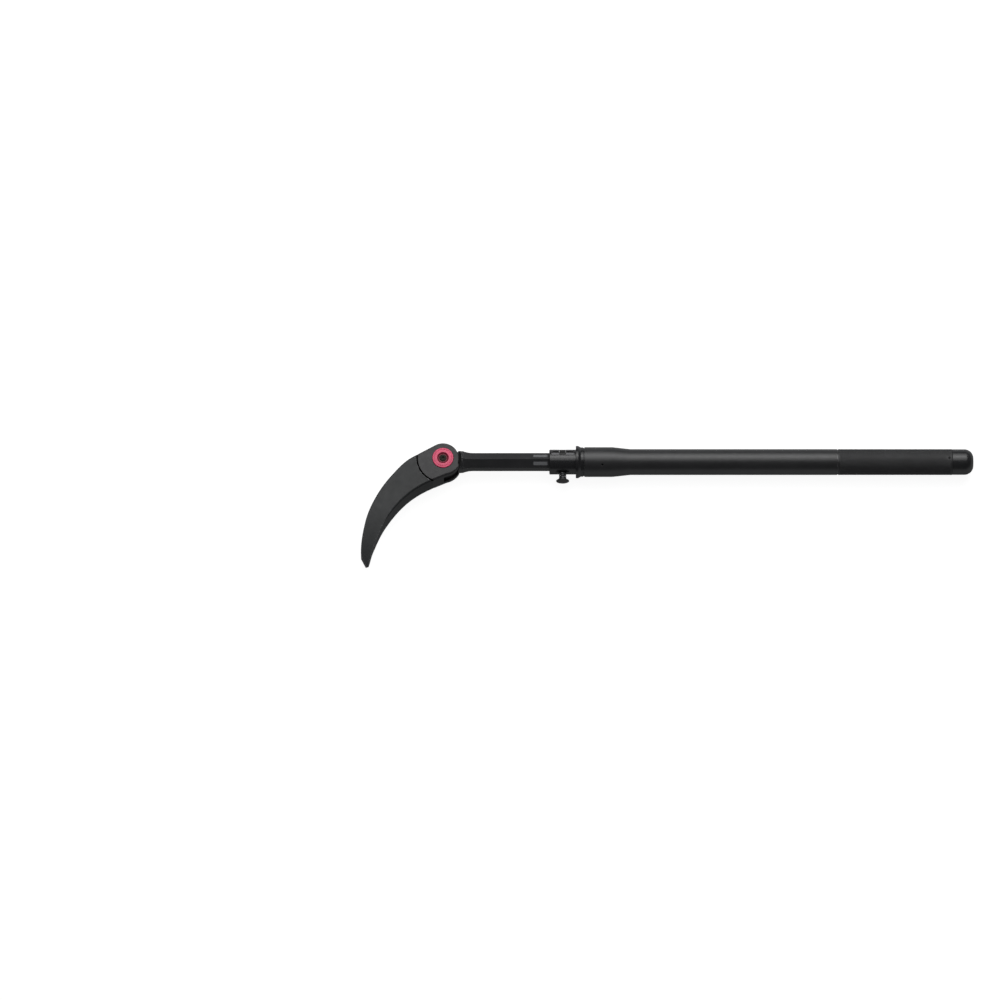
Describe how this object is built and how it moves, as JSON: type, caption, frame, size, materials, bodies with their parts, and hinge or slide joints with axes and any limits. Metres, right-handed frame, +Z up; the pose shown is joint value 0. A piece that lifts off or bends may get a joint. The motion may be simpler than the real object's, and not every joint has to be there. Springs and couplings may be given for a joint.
{
  "type": "extendable indexing pry bar",
  "caption": "Long curved-claw pry bar with an indexing hinge, a red release button, a notched hexagonal bar that telescopes in a tube, a sprung length lock and a knurled grip.",
  "frame": {"origin": "on the outer tube's axis, at the middle of its plain length", "axes": "+X along the tube towards the grip and end cap, +Z up along the head's hinge axis, on the red button's side; the claw and the lock knob point to -Y"},
  "size_m": [0.7341, 0.1531, 0.0388],
  "materials": {
    "black_steel": "satin black phosphated steel",
    "knurled_steel": "matt black knurled steel",
    "gloss_black": "gloss black enamelled steel",
    "housing_steel": "smooth blacked steel",
    "forged_steel": "satin black coating on a forging",
    "bar_steel": "satin blacked bar steel",
    "lock_steel": "dark machined steel",
    "spring_steel": "bright drawn wire",
    "red_enamel": "satin red enamel",
    "screw_steel": "dull grey steel",
    "black_nylon": "moulded nylon",
    "pin_steel": "plain steel pin"
  },
  "bodies": {
    "handle": {"outer_tube": "black_steel", "grip_sleeve": "knurled_steel", "end_cap": "gloss_black", "cap_pin": "pin_steel", "lock_housing": "housing_steel", "housing_pin": "pin_steel", "lock_spring": "spring_steel"},
    "bar": {"hex_bar": "bar_steel", "rear_guide": "black_nylon", "guide_screw": "screw_steel"},
    "head": {"pry_head": "forged_steel", "upper_washer": "spring_steel", "lower_washer": "spring_steel", "back_cover": "housing_steel", "snap_ring": "spring_steel", "index_spring": "spring_steel"},
    "index_button": {"lock_gear": "lock_steel", "button_ring": "red_enamel", "button_screw": "screw_steel"},
    "lock": {"lock_gate": "lock_steel", "lock_stem": "lock_steel", "lock_knob": "gloss_black"}
  },
  "joints": [
    {"name": "extend", "type": "slide", "parent": "handle", "child": "bar", "axis": [-1, 0, 0], "range_m": [0, 0.39]},
    {"name": "head_index", "type": "hinge", "parent": "bar", "child": "head", "pos_m": [-0.3488, 0, 0], "axis": [0, 0, 1], "range_deg": [-115.71, 51.43]},
    {"name": "press_button", "type": "slide", "parent": "head", "child": "index_button", "axis": [0, 0, -1], "range_m": [0, 0.0034], "stiffness_N_per_m": 3000, "springref_m": -0.002, "deforming": ["index_spring"]},
    {"name": "press_lock", "type": "slide", "parent": "handle", "child": "lock", "axis": [0, 1, 0], "range_m": [0, 0.002], "stiffness_N_per_m": 3000, "springref_m": -0.002, "deforming": ["lock_spring"]}
  ]
}
